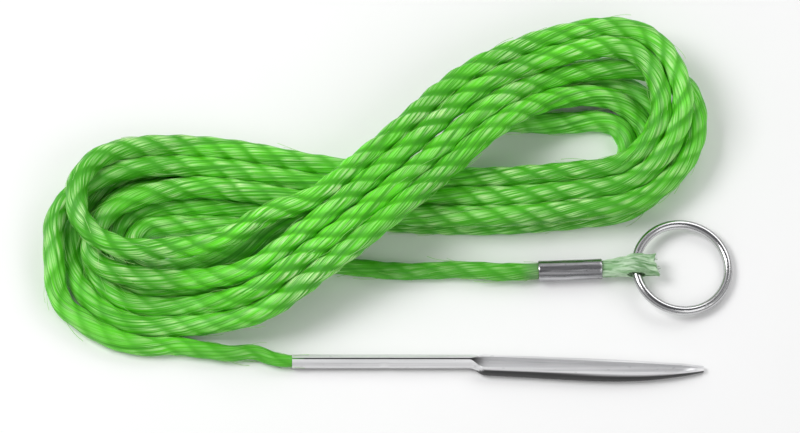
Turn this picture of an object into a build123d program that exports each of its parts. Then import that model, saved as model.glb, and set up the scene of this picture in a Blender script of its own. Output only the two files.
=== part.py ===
"""Fish stringer: a green twisted rope wound as a figure-eight hank, with a ring and a needle at its ends.

Millimetres, +Z up. The stringer lies on a table at Z = 0, with the origin under the middle of its box.
"""

import math
import os

from build123d import *

# Rope
ROPE_D = 4.6
ROPE_SIDES = 6
ROPE_GAP = 0.6
FLAT_DEPTH = ROPE_D / 10
PITCH = ROPE_D + ROPE_GAP
ROPE_REST = ROPE_D / 2 - FLAT_DEPTH
SQUEEZE_FIT = 0.05

# Hank: turns 1 to 3 lie on the table, turns 4 to 6 on top of them
LEFT_BEND = (-60.0, -11.7)
LEFT_BEND_R = 5.8
RIGHT_BEND = (55.0, 14.9)
RIGHT_BEND_R = 9.6
RIGHT_BEND_TILT = 8.0

# Ferrule
FERRULE_MOUTH = (37.4, -18.2)
FERRULE_HEADING = 2.2
FERRULE_OD = 5.2
FERRULE_WALL = 0.5
FERRULE_LENGTH = 15.9
FERRULE_EDGE = 0.2

# Ring
WIRE_D = 2.35
WIRE_SIDES = 12
RING_OD = 25.6
RING_TILT = 7.0

# Rope eye
EYE_REACH = 8.4
EYE_TAIL = 5.8
EYE_LAYER = 0.9
EYE_ROOT_HEIGHT = 3.2
EYE_TAIL_HEIGHT = 1.7
EYE_WIDTH = 4.9
EYE_FLARE = 6.1
EYE_SLANT = 0.9
EYE_HOLLOW = 0.5
WIRE_PLAY = 0.4

# Needle
NEEDLE_MOUTH = (-23.9, -42.1)
NEEDLE_LENGTH = 102.3
TUBE_OD = 3.5
TUBE_LENGTH = 44.0
SHEET = 0.6
SEAM_GAP = 0.35
TUBE_FLAT = 0.4
THROAT = 4.0
FOLD_R = 1.4
FOLD_SHARE = 0.8
DENT_AT = 22.8
DENT_ANGLE = 63.0
DENT_R = 1.6
DENT_DEPTH = 0.25
ROPE_IN_TUBE = 30.0
ROPE_TAPER = 4.6
TUBE_FIT = 0.15

# Blade stations beyond the throat: share of the blade's length, half width, rim height, sideways offset
BLADE = (
    (0.00, 2.45, 3.00, -1.15),
    (0.22, 2.55, 3.00, -1.75),
    (0.40, 2.65, 3.00, -2.25),
    (0.55, 2.65, 2.95, -2.60),
    (0.70, 2.40, 2.75, -2.70),
    (0.82, 1.95, 2.45, -2.55),
    (0.92, 1.40, 2.05, -2.20),
)
TIP = (1.00, 0.65, 1.30, -1.80)

os.makedirs("parts", exist_ok=True)


def heading_vector(heading, rise=0.0):
    """Unit vector along a plan heading in degrees, climbing by rise per millimetre."""
    angle = math.radians(heading)
    return Vector(math.cos(angle), math.sin(angle), rise).normalized()


def level_height(level):
    """Height of the rope's centre on a level of the hank: 0 on the table, 1 on top of one rope."""
    return ROPE_REST + level * PITCH


def spot(x, y, level, heading):
    """One station of the route: the rope's centre and its plan heading."""
    return Vector(x, y, level_height(level)), heading


def row_spot(centre, heading, across, row, level):
    """Station in a bundle of parallel ropes, by its row across the bundle."""
    side = heading_vector(across - 90) * (row * PITCH)
    return spot(centre[0] + side.X, centre[1] + side.Y, level, heading)


def bend_spot(centre, inner_radius, nest, angle, heading, level):
    """Station on one of the nested half circles of a bend."""
    reach = heading_vector(angle) * (inner_radius + nest * PITCH)
    return spot(centre[0] + reach.X, centre[1] + reach.Y, level, heading)


def left_bend(nest):
    """Half circle on the table round the left bend, from the far side to the near side."""
    return [
        bend_spot(LEFT_BEND, LEFT_BEND_R, nest, 90, 181, 0),
        bend_spot(LEFT_BEND, LEFT_BEND_R, nest, 180, 270, 0),
        bend_spot(LEFT_BEND, LEFT_BEND_R, nest, 270, 0, 0),
    ]


def right_spot(nest, angle, level):
    """Station round the right bend, which is turned a little against the table's X axis."""
    turned = angle + RIGHT_BEND_TILT
    return bend_spot(RIGHT_BEND, RIGHT_BEND_R, nest, turned, turned - 90, level)


# Rising run of each turn, over the crossing: row and level at the three bundles that it passes
WAIST_ROWS = (-1.4, -0.2, 1.7, 0.65, -0.45, -1.5)
WAIST_LEVELS = (1.0, 0.55, 2.0, 2.3, 2.2, 2.5)
CROSS_ROWS = (-1.0, 1.0, 1.5, 0.5, -0.5, -1.5)
CROSS_LEVELS = (2.0, 2.0, 2.88, 2.88, 2.88, 2.88)


def rising_run(turn):
    """Stations from the left bend, over the crossing, to the right bend."""
    row = CROSS_ROWS[turn]
    level = CROSS_LEVELS[turn]
    return [
        row_spot((-25.0, -22.8), 31, 33, WAIST_ROWS[turn], WAIST_LEVELS[turn]),
        row_spot((-7.4, -8.9), 49, 49, row, level),
        row_spot((14.0, 16.0), 46, 49, row, level),
    ]


# Right bend of each turn: nest on the table, or spots of its own above the other turns
RIGHT_NESTS = (2, 0, 1)
RIGHT_START_LEVELS = (0.0, 0.0, 0.75)
UPPER_RIGHT = (
    [spot(53.0, 35.0, 1.05, 8), spot(78.6, 23.2, 0.95, 278)],
    [spot(55.0, 40.3, 1.95, 8), spot(67.6, 26.2, 2.05, 278)],
    [spot(56.0, 46.0, 1.90, 8), spot(74.4, 27.2, 2.05, 278)],
)


def right_turn(turn):
    """Stations round the right bend, from the far side to the near side."""
    storey, place = divmod(turn, len(RIGHT_NESTS))
    nest = RIGHT_NESTS[place]
    if storey == 0:
        start = [right_spot(nest, 90, RIGHT_START_LEVELS[place]), right_spot(nest, 0, 0)]
    else:
        start = UPPER_RIGHT[place]
    return start + [right_spot(nest, 270, storey)]


# Falling run of each turn, under the crossing
UNDER_ROWS = (-1, 1, 0)


def falling_run(turn):
    """Stations from the right bend, under the crossing, to the left bend."""
    storey, place = divmod(turn, len(UNDER_ROWS))
    row = UNDER_ROWS[place]
    return [
        row_spot((22.0, -1.3), 180, 180, row, storey),
        row_spot((-1.0, -0.2), 173, 176, row, storey),
    ]


# Left bend of each turn: half circles on the table, then spots of its own above them
LEFT_TURNS = (
    left_bend(1),
    left_bend(3),
    left_bend(2),
    [spot(-58.0, 2.3, 1, 181), spot(-69.6, -9.6, 1, 270), spot(-58.0, -21.6, 1, 0)],
    [spot(-60.0, 13.5, 1.25, 181), spot(-80.4, -2.3, 2.05, 270), spot(-60.0, -17.5, 2, 0)],
    [spot(-60.0, 8.2, 1, 181), spot(-83.9, -15.3, 1, 270)],
)

# Free stretches, chosen by hand: from the hank to the ferrule, and from the hank to the needle
RING_LEG = (
    Vector(-8.5, -16.8, ROPE_REST),
    Vector(4.0, -18.3, ROPE_REST),
    Vector(17.0, -17.3, ROPE_REST),
    Vector(*FERRULE_MOUTH, FERRULE_OD / 2) - heading_vector(FERRULE_HEADING) * 9.0,
    Vector(*FERRULE_MOUTH, FERRULE_OD / 2),
)
NEEDLE_LEG = (
    Vector(-46.0, -39.7, ROPE_REST),
    Vector(-39.5, -40.4, ROPE_REST),
    Vector(-33.0, -41.4, ROPE_REST),
    Vector(NEEDLE_MOUTH[0] - ROPE_TAPER, NEEDLE_MOUTH[1] + 0.3, ROPE_REST),
)


def straight_end(leg):
    """The hank's two stations where a leg joins it: one rope diameter of straight run."""
    outward = (leg[0] - leg[1]).normalized()
    heading = math.degrees(math.atan2(outward.Y, outward.X))
    return [(leg[0], heading), (leg[0] + outward * ROPE_D, heading)]


def hank_route():
    """All stations of the hank, from the ring leg to the needle leg."""
    route = straight_end(RING_LEG) + [spot(-34.0, -10.3, 0, 166)] + left_bend(0)
    for turn, bend in enumerate(LEFT_TURNS):
        route += rising_run(turn) + right_turn(turn) + falling_run(turn) + bend
    route += [spot(-79.0, -30.9, 0.15, 310), spot(-62.0, -38.5, 0, 346)]
    join, inner = straight_end(NEEDLE_LEG)
    return route + [(inner[0], inner[1] + 180), (join[0], join[1] + 180)]


def route_tangents(route):
    """Tangent at each station: its heading, with the gentler of the two slopes beside it."""
    rises = [(b[0].Z - a[0].Z) / (b[0] - a[0]).length for a, b in zip(route, route[1:])]
    slopes = [0.0]
    for before, after in zip(rises, rises[1:]):
        slopes.append(min(before, after, key=abs) if before * after > 0 else 0.0)
    slopes.append(0.0)
    return [heading_vector(heading, slope) for (_, heading), slope in zip(route, slopes)]


def biarc(start, start_tangent, end, end_tangent):
    """The two tangent arcs between two stations: start, end and first tangent of each."""
    chord = end - start
    bend = 2 * (start_tangent.dot(end_tangent) - 1)
    reach = -2 * chord.dot(start_tangent + end_tangent)
    square = chord.dot(chord)
    arm = -square / reach
    if abs(bend) > 1e-9:
        arm = (-reach - math.sqrt(reach * reach - 4 * bend * square)) / (2 * bend)
    first = start + start_tangent * arm
    second = end - end_tangent * arm
    middle = (first + second) / 2
    return (start, middle, start_tangent), (middle, end, (second - first).normalized())


def tangent_piece(start, end, tangent):
    """Add a straight line or a tangent arc to the line that is being drawn."""
    if (end - start).normalized().dot(tangent) > 1 - 1e-9:
        Line(start, end)
    else:
        TangentArc(start, end, tangent=tangent)


def rope_plane(origin, along):
    """Plane of the rope's section, with a corner at the top."""
    return Plane(origin=origin, x_dir=(0, 0, 1), z_dir=along)


def leg_radii(points):
    """Largest bend radii that the runs of a leg allow."""
    radii = []
    for a, b, c in zip(points, points[1:], points[2:]):
        half_turn = math.radians((b - a).get_angle(c - b)) / 2
        radii.append(0.45 * min((b - a).length, (c - b).length) / math.tan(half_turn))
    return radii


def least_gap(wire, step=1.0):
    """Least clear distance of the tube to itself, on points along its centre line."""
    count = int(wire.length / step)
    points = [tuple(wire.position_at(i / count)) for i in range(count + 1)]
    skip = int(3 * ROPE_D / step)
    nearest = min(math.dist(p, q) for i, p in enumerate(points) for q in points[i + skip:])
    return nearest - ROPE_D


# Rope hank
stations = hank_route()
tangents = route_tangents(stations)
with BuildPart() as rope_hank:
    with BuildLine() as hank_line:
        for (p, _), t, (q, _), u in zip(stations, tangents, stations[1:], tangents[1:]):
            for piece in biarc(p, t, q, u):
                tangent_piece(*piece)
    with BuildSketch(rope_plane(stations[0][0], tangents[0])):
        RegularPolygon(ROPE_D / 2, ROPE_SIDES)
    sweep(path=hank_line.wires()[0])
    split(bisect_by=Plane.XY, keep=Keep.TOP)

# Ring leg: the free stretch, and the squeezed rope inside the ferrule
ring_end = Plane(origin=RING_LEG[-1], x_dir=heading_vector(FERRULE_HEADING), z_dir=(0, 0, 1))
ferrule_section = Plane(origin=ring_end.origin, x_dir=ring_end.y_dir, z_dir=ring_end.x_dir)
with BuildPart() as ring_leg:
    with BuildLine() as ring_line:
        FilletPolyline(*RING_LEG, radius=leg_radii(RING_LEG))
    with BuildSketch(rope_plane(RING_LEG[0], RING_LEG[1] - RING_LEG[0])) as rope_section:
        RegularPolygon(ROPE_D / 2, ROPE_SIDES)
    sweep(path=ring_line.wires()[0])
    split(bisect_by=Plane.XY, keep=Keep.TOP)
    with BuildSketch(ferrule_section):
        Circle(FERRULE_OD / 2 - FERRULE_WALL - SQUEEZE_FIT)
    extrude(amount=FERRULE_LENGTH)

# Ferrule
with BuildPart() as ferrule:
    with BuildSketch(ferrule_section):
        Circle(FERRULE_OD / 2)
        Circle(FERRULE_OD / 2 - FERRULE_WALL, mode=Mode.SUBTRACT)
    extrude(amount=FERRULE_LENGTH)
    rims = ferrule.edges().filter_by(GeomType.CIRCLE).group_by(SortBy.RADIUS)[-1]
    chamfer(rims, FERRULE_EDGE)

# Ring: its far rim lies on the table, and its near rim is held in the eye
ring_radius = (RING_OD - WIRE_D) / 2
tilt = math.radians(RING_TILT)
wire_height = WIRE_D / 2 + 2 * ring_radius * math.sin(tilt)
wire_spot = (FERRULE_LENGTH + EYE_REACH, wire_height - FERRULE_OD / 2)
pivot = ring_end.from_local_coords((wire_spot[0], 0, wire_spot[1]))
ring_centre = pivot + Vector(math.cos(tilt), 0, -math.sin(tilt)) * ring_radius
ring_plane = Plane(origin=ring_centre, x_dir=(math.cos(tilt), 0, -math.sin(tilt)), z_dir=(0, -1, 0))
with BuildPart() as ring:
    with BuildSketch(ring_plane):
        with Locations((ring_radius, 0)):
            RegularPolygon(WIRE_D / 2, WIRE_SIDES)
    revolve(axis=Axis(ring_centre, ring_plane.y_dir))

# Rope eye: two flattened layers that part round the wire, with a cut end that flares out
wire_sweep = ring_radius - math.sqrt(ring_radius ** 2 - (EYE_WIDTH / 2) ** 2)
wire_hole = WIRE_D / 2 + WIRE_PLAY + wire_sweep
eye_end = wire_spot[0] + EYE_TAIL
eye_root = FERRULE_OD / 2 - FERRULE_WALL
far_corner = (eye_end - EYE_SLANT, EYE_FLARE / 2)
near_corner = (eye_end, -EYE_FLARE / 2)
eye_side = Plane(origin=ring_end.origin, x_dir=ring_end.x_dir, z_dir=-ring_end.y_dir)
with BuildPart() as rope_eye:
    with BuildSketch(eye_side):
        with BuildLine():
            Line((FERRULE_LENGTH, -EYE_ROOT_HEIGHT / 2), (FERRULE_LENGTH, EYE_ROOT_HEIGHT / 2))
            CenterArc(wire_spot, wire_hole + EYE_LAYER, 0, 360)
            Line((eye_end, wire_spot[1] - EYE_TAIL_HEIGHT / 2), (eye_end, wire_spot[1] + EYE_TAIL_HEIGHT / 2))
        make_hull()
        with Locations(wire_spot):
            Circle(wire_hole, mode=Mode.SUBTRACT)
    extrude(amount=EYE_FLARE, both=True)
    with BuildSketch(ring_end):
        with BuildLine():
            Polyline(far_corner, (wire_spot[0], EYE_WIDTH / 2), (FERRULE_LENGTH, eye_root))
            Line((FERRULE_LENGTH, eye_root), (FERRULE_LENGTH, -eye_root))
            Polyline((FERRULE_LENGTH, -eye_root), (wire_spot[0], -EYE_WIDTH / 2), near_corner)
            SagittaArc(near_corner, far_corner, EYE_HOLLOW)
        make_face()
    extrude(amount=RING_OD / 2, both=True, mode=Mode.INTERSECT)


def needle_plane(along, offset=0.0, height=0.0):
    """Plane across the needle, at a distance from its mouth."""
    origin = (NEEDLE_MOUTH[0] + along, NEEDLE_MOUTH[1] + offset, height)
    return Plane(origin=origin, x_dir=(0, 1, 0), z_dir=(1, 0, 0))


def sheet_side(half_width, fold, lip, floor):
    """One side of the bent sheet, drawn from lip to lip: two walls, two folds and the floor between them."""
    for side in (1, -1):
        foot = (side * half_width, fold + floor)
        if lip[0] == half_width:
            Line((side * lip[0], lip[1]), foot)
        else:
            TangentArc(foot, (side * lip[0], lip[1]), tangent=(0, 1))
        CenterArc((side * (half_width - fold), fold + floor), fold, 90 - 90 * side, -90 * side)
    Line((half_width - fold, floor), (fold - half_width, floor))


def sheet_section(along, offset, half_width, fold, outer_lip, inner_lip):
    """Section of the bent sheet at a distance from the mouth."""
    with BuildSketch(needle_plane(along, offset)) as section:
        with BuildLine():
            sheet_side(half_width, fold, outer_lip, 0)
            sheet_side(half_width - SHEET, fold - SHEET, inner_lip, SHEET)
            for side in (1, -1):
                Line((side * outer_lip[0], outer_lip[1]), (side * inner_lip[0], inner_lip[1]))
        make_face()
    return section.sketch


def tube_section(along):
    """Section of the rolled tube, whose lips almost meet at the seam on top."""
    lip = SEAM_GAP / 2
    fold = (TUBE_OD - TUBE_FLAT) / 2
    return sheet_section(along, 0, TUBE_OD / 2, fold, (lip, TUBE_OD), (lip, TUBE_OD - SHEET))


def blade_place(share):
    """Distance from the mouth of a share of the blade's length."""
    return TUBE_LENGTH + THROAT + share * (NEEDLE_LENGTH - TUBE_LENGTH - THROAT)


def blade_section(share, half_width, rim, offset):
    """Section of the open blade, folded up along both sides."""
    fold = min(FOLD_R, FOLD_SHARE * half_width)
    outer_lip = (half_width, rim)
    return sheet_section(blade_place(share), offset, half_width, fold, outer_lip, (half_width - SHEET, rim))


def tip_section(share, half_width, rim, offset):
    """Section of the closed point, filled between its sides."""
    with BuildSketch(needle_plane(blade_place(share), offset)) as section:
        with BuildLine():
            sheet_side(half_width, min(FOLD_R, FOLD_SHARE * half_width), (half_width, rim), 0)
            Line((half_width, rim), (-half_width, rim))
        make_face()
    return section.sketch


# Needle: sheet rolled to a tube, which opens into a folded blade with a closed point
tube_start = tube_section(0)
blade_sections = [tube_section(TUBE_LENGTH)] + [blade_section(*station) for station in BLADE]
tip_sections = [tip_section(*station) for station in (BLADE[-1], TIP)]
dent_reach = TUBE_OD / 2 + DENT_R - DENT_DEPTH
dent_angle = math.radians(DENT_ANGLE)
dent_spot = (-dent_reach * math.sin(dent_angle), dent_reach * math.cos(dent_angle))
with BuildPart() as needle:
    extrude(tube_start, amount=TUBE_LENGTH, dir=(1, 0, 0))
    loft(blade_sections, ruled=True)
    loft(tip_sections, ruled=True)
    with Locations(needle_plane(DENT_AT, dent_spot[0], TUBE_OD / 2 + dent_spot[1])):
        Sphere(DENT_R, mode=Mode.SUBTRACT)

# Needle leg: the free stretch, its taper, and the squeezed rope inside the needle tube
with BuildPart() as needle_leg:
    with BuildLine() as needle_line:
        FilletPolyline(*NEEDLE_LEG, radius=leg_radii(NEEDLE_LEG))
    with BuildSketch(rope_plane(NEEDLE_LEG[0], NEEDLE_LEG[1] - NEEDLE_LEG[0])):
        RegularPolygon(ROPE_D / 2, ROPE_SIDES)
    sweep(path=needle_line.wires()[0])
    with BuildSketch(rope_plane(NEEDLE_LEG[-1], NEEDLE_LEG[-1] - NEEDLE_LEG[-2])):
        RegularPolygon(ROPE_D / 2, ROPE_SIDES)
    with BuildSketch(rope_plane((*NEEDLE_MOUTH, TUBE_OD / 2), (1, 0, 0))):
        RegularPolygon(TUBE_OD / 2, ROPE_SIDES)
    loft(ruled=True)
    split(bisect_by=Plane.XY, keep=Keep.TOP)
    with BuildSketch(needle_plane(0, 0, TUBE_OD / 2)):
        Circle(TUBE_OD / 2 - SHEET - TUBE_FIT)
    extrude(amount=ROPE_IN_TUBE)

pieces = {
    "rope_hank": rope_hank,
    "ring_leg": ring_leg,
    "ferrule": ferrule,
    "rope_eye": rope_eye,
    "ring": ring,
    "needle_leg": needle_leg,
    "needle": needle,
}
for name, piece in pieces.items():
    piece.part.label = name
    export_step(piece.part, f"parts/{name}.step")

hank_wire = hank_line.wires()[0]
print("hank length", round(hank_wire.length, 1), "least gap", round(least_gap(hank_wire), 3))
print("hank least radius", round(min(e.radius for e in hank_wire.edges().filter_by(GeomType.CIRCLE)), 2))
for name, line, leg in (("ring leg", ring_line, RING_LEG), ("needle leg", needle_line, NEEDLE_LEG)):
    print(name, "length", round(line.wires()[0].length, 1), "radii", [round(r) for r in leg_radii(leg)])
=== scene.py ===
"""Fish stringer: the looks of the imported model.

Metres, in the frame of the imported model. The sizes of the route, the ring end and the needle are in
millimetres. The rope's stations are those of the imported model, moved a little to follow the photograph.
"""

from __future__ import annotations

import logging
import math
import random
from dataclasses import asdict, dataclass
from enum import Enum
from typing import NamedTuple

import bpy
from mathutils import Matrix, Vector


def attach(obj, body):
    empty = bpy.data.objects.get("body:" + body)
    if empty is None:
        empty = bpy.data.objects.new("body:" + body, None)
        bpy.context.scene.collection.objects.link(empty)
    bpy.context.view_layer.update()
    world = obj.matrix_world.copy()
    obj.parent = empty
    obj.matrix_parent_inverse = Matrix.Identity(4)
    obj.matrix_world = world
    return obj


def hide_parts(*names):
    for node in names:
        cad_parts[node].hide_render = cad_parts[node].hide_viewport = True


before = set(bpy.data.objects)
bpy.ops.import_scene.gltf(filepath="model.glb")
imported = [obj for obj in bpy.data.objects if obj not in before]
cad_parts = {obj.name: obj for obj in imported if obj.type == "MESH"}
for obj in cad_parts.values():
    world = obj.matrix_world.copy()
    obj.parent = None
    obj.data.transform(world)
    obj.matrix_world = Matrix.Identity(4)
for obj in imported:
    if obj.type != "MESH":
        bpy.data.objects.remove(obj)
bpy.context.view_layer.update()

LOG = logging.getLogger("stringer")
MM = 0.001
Colour = tuple[float, float, float, float]
Plan = tuple[float, float]
Place = tuple[float, float, float]
Spot = tuple[float, float, float, float]
Knots = tuple[tuple[float, ...], ...]
Face = tuple[int, ...]
Material = bpy.types.Material
Piece = bpy.types.Object
Tree = bpy.types.NodeTree
Socket = bpy.types.NodeSocket
Outputs = bpy.types.bpy_prop_collection
Value = Socket | float | int | str | tuple

# Places in millimetres where the rope leaves the ferrule and enters the needle
FERRULE_MOUTH = (37.4, -18.2, 2.6)
FERRULE_HEADING = 2.2
NEEDLE_MOUTH = (-23.9, -42.1)


class Layer(Enum):
    """The two layers of the rope eye, as the sign of their side of the wire."""

    UPPER = 1
    LOWER = -1


def smoothstep(share: float) -> float:
    """Ease from 0 to 1, clamped at both ends."""
    share = min(max(share, 0.0), 1.0)
    return share * share * (3 - 2 * share)


def smooth_through(knots: Knots, place: float) -> list[float]:
    """Read a smooth curve through rows of values.

    Args:
        knots: rows of a place and the values there, in rising order of place.
        place: where to read.

    Returns:
        The values at that place.
    """
    last = len(knots) - 1
    place = min(max(place, knots[0][0]), knots[last][0])
    i = max(k for k in range(last) if knots[k][0] <= place)
    before, a, b, after = (knots[k] for k in (max(i - 1, 0), i, i + 1, min(i + 2, last)))
    width = b[0] - a[0]
    t = (place - a[0]) / width
    values = []
    for column in range(1, len(a)):
        start = (b[column] - before[column]) / (b[0] - before[0]) * width
        end = (after[column] - a[column]) / (after[0] - a[0]) * width
        rise = b[column] - a[column]
        cubic = start + end - 2 * rise
        values.append(a[column] + t * (start + t * (3 * rise - 2 * start - end + t * cubic)))
    return values


def heading_vector(heading: float, rise: float = 0.0) -> Vector:
    """Unit vector along a plan heading in degrees, climbing by rise."""
    angle = math.radians(heading)
    return Vector((math.cos(angle), math.sin(angle), rise)).normalized()


def new_object(name: str, data: bpy.types.ID) -> Piece:
    """Link a new object at the origin.

    Args:
        name: its name.
        data: its mesh, curve, lamp or camera.

    Returns:
        The object.
    """
    made = bpy.data.objects.new(name, data)
    bpy.context.scene.collection.objects.link(made)
    return made


def evaluated_mesh(source: Piece) -> bpy.types.Mesh:
    """Return the plain mesh of an object as its modifiers leave it."""
    depsgraph = bpy.context.evaluated_depsgraph_get()
    return bpy.data.meshes.new_from_object(source.evaluated_get(depsgraph), depsgraph=depsgraph)


def shell_object(
    name: str, vertices: list[Vector], faces: list[Face], material: Material, sharp: float
) -> Piece:
    """Make a smooth piece from points and faces.

    Args:
        name: the piece's name.
        vertices: its points.
        faces: its faces, by point.
        material: its material.
        sharp: least angle of an edge that stays sharp, in degrees.

    Returns:
        The new piece.
    """
    mesh = bpy.data.meshes.new(name)
    mesh.from_pydata(vertices, [], faces)
    mesh.validate()
    mesh.shade_smooth()
    mesh.set_sharp_from_angle(angle=math.radians(sharp))
    mesh.materials.append(material)
    LOG.info("%s: %d faces", name, len(faces))
    return new_object(name, mesh)


def store_on_points(piece: Piece, name: str, values: list[float] | list[Place]) -> None:
    """Store a named number or vector on each point of a piece.

    Args:
        piece: the piece.
        name: the attribute's name.
        values: one value for each point.
    """
    single = isinstance(values[0], float)
    layer = piece.data.attributes.new(name, "FLOAT" if single else "FLOAT_VECTOR", "POINT")
    flat = values if single else [number for value in values for number in value]
    layer.data.foreach_set("value" if single else "vector", flat)


def ring_faces(rings: int, sides: int, closed: bool) -> list[Face]:
    """Faces between rings of points.

    Args:
        rings: number of rings.
        sides: points on each ring.
        closed: whether the last ring joins the first.

    Returns:
        The faces, by point.
    """
    faces = []
    for ring in range(rings if closed else rings - 1):
        here, following = ring * sides, (ring + 1) % rings * sides
        for side in range(sides):
            turned = (side + 1) % sides
            faces.append((here + side, here + turned, following + turned, following + side))
    return faces


class NodeBench:
    """Adds nodes to one node tree and links them."""

    def __init__(self, tree: Tree) -> None:
        """Keep the tree that the nodes go into."""
        self.tree = tree

    def put(self, target: Socket, value: Value) -> None:
        """Link a socket to an input, or set the input's own value.

        Args:
            target: the input.
            value: a socket or a plain value.
        """
        if isinstance(value, Socket):
            self.tree.links.new(value, target)
        else:
            target.default_value = value

    def add(
        self,
        kind: str,
        *values: Value | None,
        inputs: dict[int | str, Value] | None = None,
        **settings: object,
    ) -> Outputs:
        """Add a node.

        Args:
            kind: the node's type.
            values: its inputs in order, None to leave one as it is.
            inputs: inputs by name or number.
            settings: properties of the node.

        Returns:
            The node's outputs.
        """
        node = self.tree.nodes.new(kind)
        for name, value in settings.items():
            setattr(node, name, value)
        for place, value in (dict(enumerate(values)) | (inputs or {})).items():
            if value is not None:
                self.put(node.inputs[place], value)
        return node.outputs

    def math(self, operation: str, *values: Value) -> Socket:
        """Return the result of a math node."""
        return self.add("ShaderNodeMath", *values, operation=operation)[0]

    def times(self, first: Value, second: Value) -> Socket:
        """Return one number times another."""
        return self.math("MULTIPLY", first, second)

    def vector(self, operation: str, *values: Value) -> Socket:
        """Return the vector of a vector math node."""
        return self.add("ShaderNodeVectorMath", *values, operation=operation)["Vector"]

    def distance(self, first: Value, second: Value) -> Socket:
        """Return how far one place is from another."""
        return self.add("ShaderNodeVectorMath", first, second, operation="DISTANCE")["Value"]

    def scaled(self, vector: Value, factor: Value) -> Socket:
        """Return a vector times a number."""
        return self.add("ShaderNodeVectorMath", vector, inputs={"Scale": factor}, operation="SCALE")["Vector"]

    def combined(self, x: Value, y: Value, z: Value) -> Socket:
        """Return a vector made of three numbers."""
        return self.add("ShaderNodeCombineXYZ", x, y, z)[0]

    def split(self, vector: Value) -> Outputs:
        """Return the three numbers of a vector."""
        return self.add("ShaderNodeSeparateXYZ", vector)

    def ranged(
        self, value: Value, low: float, high: float, to_low: float = 0.0, to_high: float = 1.0
    ) -> Socket:
        """Return a number mapped from low and high to to_low and to_high, clamped."""
        return self.add("ShaderNodeMapRange", value, low, high, to_low, to_high)[0]

    def noise(self, vector: Value, scale: Value, detail: float = 2.0) -> Socket:
        """Return a noise value on a vector."""
        return self.add("ShaderNodeTexNoise", inputs={"Vector": vector, "Scale": scale, "Detail": detail})[0]

    def mixed(self, factor: Value, first: Value, second: Value) -> Socket:
        """Return a mix of two colours."""
        return self.add("ShaderNodeMix", inputs={0: factor, 6: first, 7: second}, data_type="RGBA")[2]


class GeometryBench(NodeBench):
    """A geometry node tree with named sizes, which ends in realised geometry with one material."""

    def __init__(self, name: str, sizes: dict[str, float | int]) -> None:
        """Make the tree and its inputs.

        Args:
            name: the tree's name.
            sizes: label and value of each named input.
        """
        super().__init__(bpy.data.node_groups.new(name, "GeometryNodeTree"))
        self.sizes = sizes
        kinds = {label: "Int" if isinstance(value, int) else "Float" for label, value in sizes.items()}
        for label, kind in {"Geometry": "Geometry", **kinds, "Material": "Material"}.items():
            self.tree.interface.new_socket(label, in_out="INPUT", socket_type=f"NodeSocket{kind}")
        self.tree.interface.new_socket("Geometry", in_out="OUTPUT", socket_type="NodeSocketGeometry")
        self.entry = self.add("NodeGroupInput")

    def store(self, geometry: Value, name: str, value: Value, kind: str = "FLOAT") -> Socket:
        """Return a geometry with a named value stored on its points."""
        store = "GeometryNodeStoreNamedAttribute"
        return self.add(store, geometry, None, name, value, data_type=kind, domain="POINT")[0]

    def named(self, name: str, kind: str = "FLOAT") -> Socket:
        """Return a named value."""
        return self.add("GeometryNodeInputNamedAttribute", name, data_type=kind)[0]

    def position(self) -> Socket:
        """Return the place of each point."""
        return self.add("GeometryNodeInputPosition")[0]

    def circle(self, sides: Value, radius: Value) -> Socket:
        """Return a circle of straight sides."""
        return self.add("GeometryNodeCurvePrimitiveCircle", sides, None, None, None, radius)[0]

    def close(self, geometry: Value) -> None:
        """End the tree: realise the instances, smooth the faces and set the material.

        Args:
            geometry: what the tree has made.
        """
        real = self.add("GeometryNodeRealizeInstances", geometry)[0]
        smooth = self.add("GeometryNodeSetShadeSmooth", real)[0]
        dressed = self.add("GeometryNodeSetMaterial", smooth, None, self.entry["Material"])[0]
        self.put(self.tree.nodes.new("NodeGroupOutput").inputs[0], dressed)

    def run(self, name: str, guide: bpy.types.Mesh, material: Material) -> Piece:
        """Run the tree on a guide mesh.

        Args:
            name: name of the new piece.
            guide: the mesh that the tree starts from.
            material: the piece's material.

        Returns:
            A piece with a plain mesh.
        """
        holder = new_object(f"{name}_guide", guide)
        modifier = holder.modifiers.new(self.tree.name, "NODES")
        modifier.node_group = self.tree
        given = {**self.sizes, "Material": material}
        for item in self.tree.interface.items_tree:
            if item.in_out == "INPUT" and item.name in given:
                modifier[item.identifier] = given[item.name]
        mesh = evaluated_mesh(holder)
        holder.modifiers.remove(modifier)
        bpy.data.objects.remove(holder)
        mesh.name = name
        LOG.info("%s: %d faces", name, len(mesh.polygons))
        return new_object(name, mesh)


class EffectBench(NodeBench):
    """A shader node group that makes values from a vector and a scale."""

    def __init__(self, name: str) -> None:
        """Make the group and its inputs.

        Args:
            name: the group's name.
        """
        super().__init__(bpy.data.node_groups.new(name, "ShaderNodeTree"))
        for label, kind in {"Vector": "NodeSocketVector", "Scale": "NodeSocketFloat"}.items():
            self.tree.interface.new_socket(label, in_out="INPUT", socket_type=kind)
        self.entry = self.add("NodeGroupInput")

    def grain(self, share: float, detail: float, squeeze: float = 1.0) -> Socket:
        """Return noise at a share of the scale, drawn out along x where squeeze is below 1."""
        vector = self.vector("MULTIPLY", self.entry["Vector"], (squeeze, 1.0, 1.0))
        return self.noise(vector, self.times(self.entry["Scale"], share), detail)

    def close(self, **values: Socket) -> Tree:
        """Give the group an output for each value.

        Args:
            values: the values by name.

        Returns:
            The group's tree.
        """
        for label in values:
            self.tree.interface.new_socket(label, in_out="OUTPUT", socket_type="NodeSocketFloat")
        leave = self.tree.nodes.new("NodeGroupOutput").inputs
        for label, value in values.items():
            self.put(leave[label], value)
        return self.tree


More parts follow.
